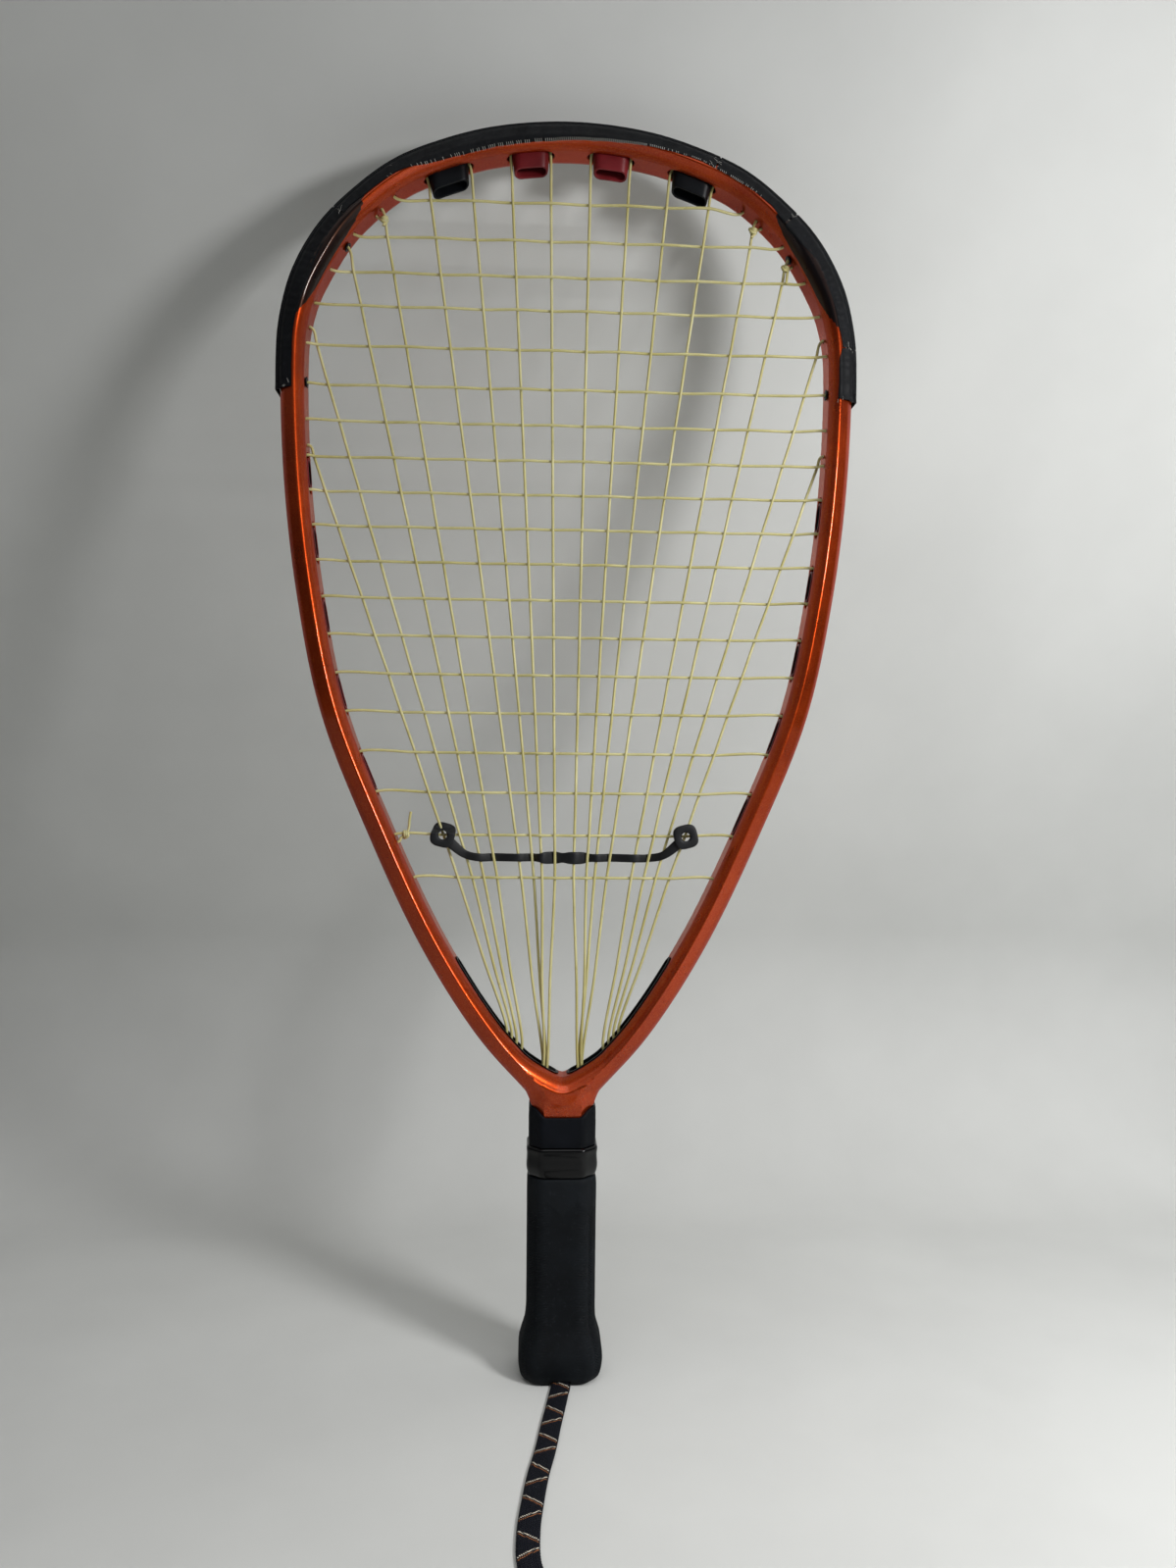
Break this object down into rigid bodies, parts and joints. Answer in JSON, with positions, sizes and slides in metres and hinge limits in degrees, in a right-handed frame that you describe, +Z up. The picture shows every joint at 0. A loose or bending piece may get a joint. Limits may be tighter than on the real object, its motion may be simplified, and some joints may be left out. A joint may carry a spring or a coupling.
{
  "type": "racquetball racket",
  "caption": "Teardrop racquetball racket with a hollow moulded frame, woven strings, port inserts, a taped head guard, a rubber grip and a wrist lanyard.",
  "frame": {"origin": "centre of the butt end's rim, where the racket stands", "axes": "+Z runs up the handle to the head tip, X lies across the face, the strings' front looks along -Y"},
  "size_m": [0.259, 0.3069, 0.5588],
  "materials": {
    "copper_paint": "carbon composite under metallic copper-orange paint, gloss",
    "black_plastic": "satin black",
    "red_plastic": "satin translucent dark red",
    "black_tape": "coated cloth tape with frayed white edges",
    "string": "pale yellow nylon",
    "black_rubber": "ribbed, matte",
    "gloss_rubber": "smooth, glossy",
    "lace": "flat woven lace with light flecks"
  },
  "bodies": {
    "root": {"frame": "copper_paint", "top_port_insert_left_outer": "black_plastic", "top_port_insert_left_inner": "red_plastic", "top_port_insert_right_inner": "red_plastic", "top_port_insert_right_outer": "black_plastic", "side_port_insert_left_1": "red_plastic", "side_port_insert_left_2": "red_plastic", "side_port_insert_left_3": "red_plastic", "side_port_insert_left_4": "red_plastic", "side_port_insert_left_5": "red_plastic", "side_port_insert_right_1": "red_plastic", "side_port_insert_right_2": "red_plastic", "side_port_insert_right_3": "red_plastic", "side_port_insert_right_4": "red_plastic", "side_port_insert_right_5": "red_plastic", "throat_insert_left": "black_plastic", "throat_insert_right": "black_plastic", "grommet_left_upper": "black_plastic", "grommet_left_lower": "black_plastic", "grommet_right_upper": "black_plastic", "grommet_right_lower": "black_plastic", "main_string": "string", "cross_string": "string", "string_knot_left_upper": "string", "string_knot_right_upper": "string", "string_knot_right_lower": "string", "string_knot_left_lower": "string", "vibration_dampener": "black_rubber", "head_guard": "black_plastic", "head_tape_left": "black_tape", "head_tape_top": "black_tape", "head_tape_right_upper": "black_tape", "head_tape_right_lower": "black_tape", "head_tape_right_end": "black_tape", "handle_tape": "black_tape", "rubber_collar": "gloss_rubber", "grip_sleeve": "black_rubber", "butt_cap": "black_plastic", "lanyard_anchor_knot": "lace", "lanyard_root": "lace", "lanyard_lead": "lace", "lanyard_knot": "lace", "lanyard_loop": "lace"}
  },
  "joints": []
}
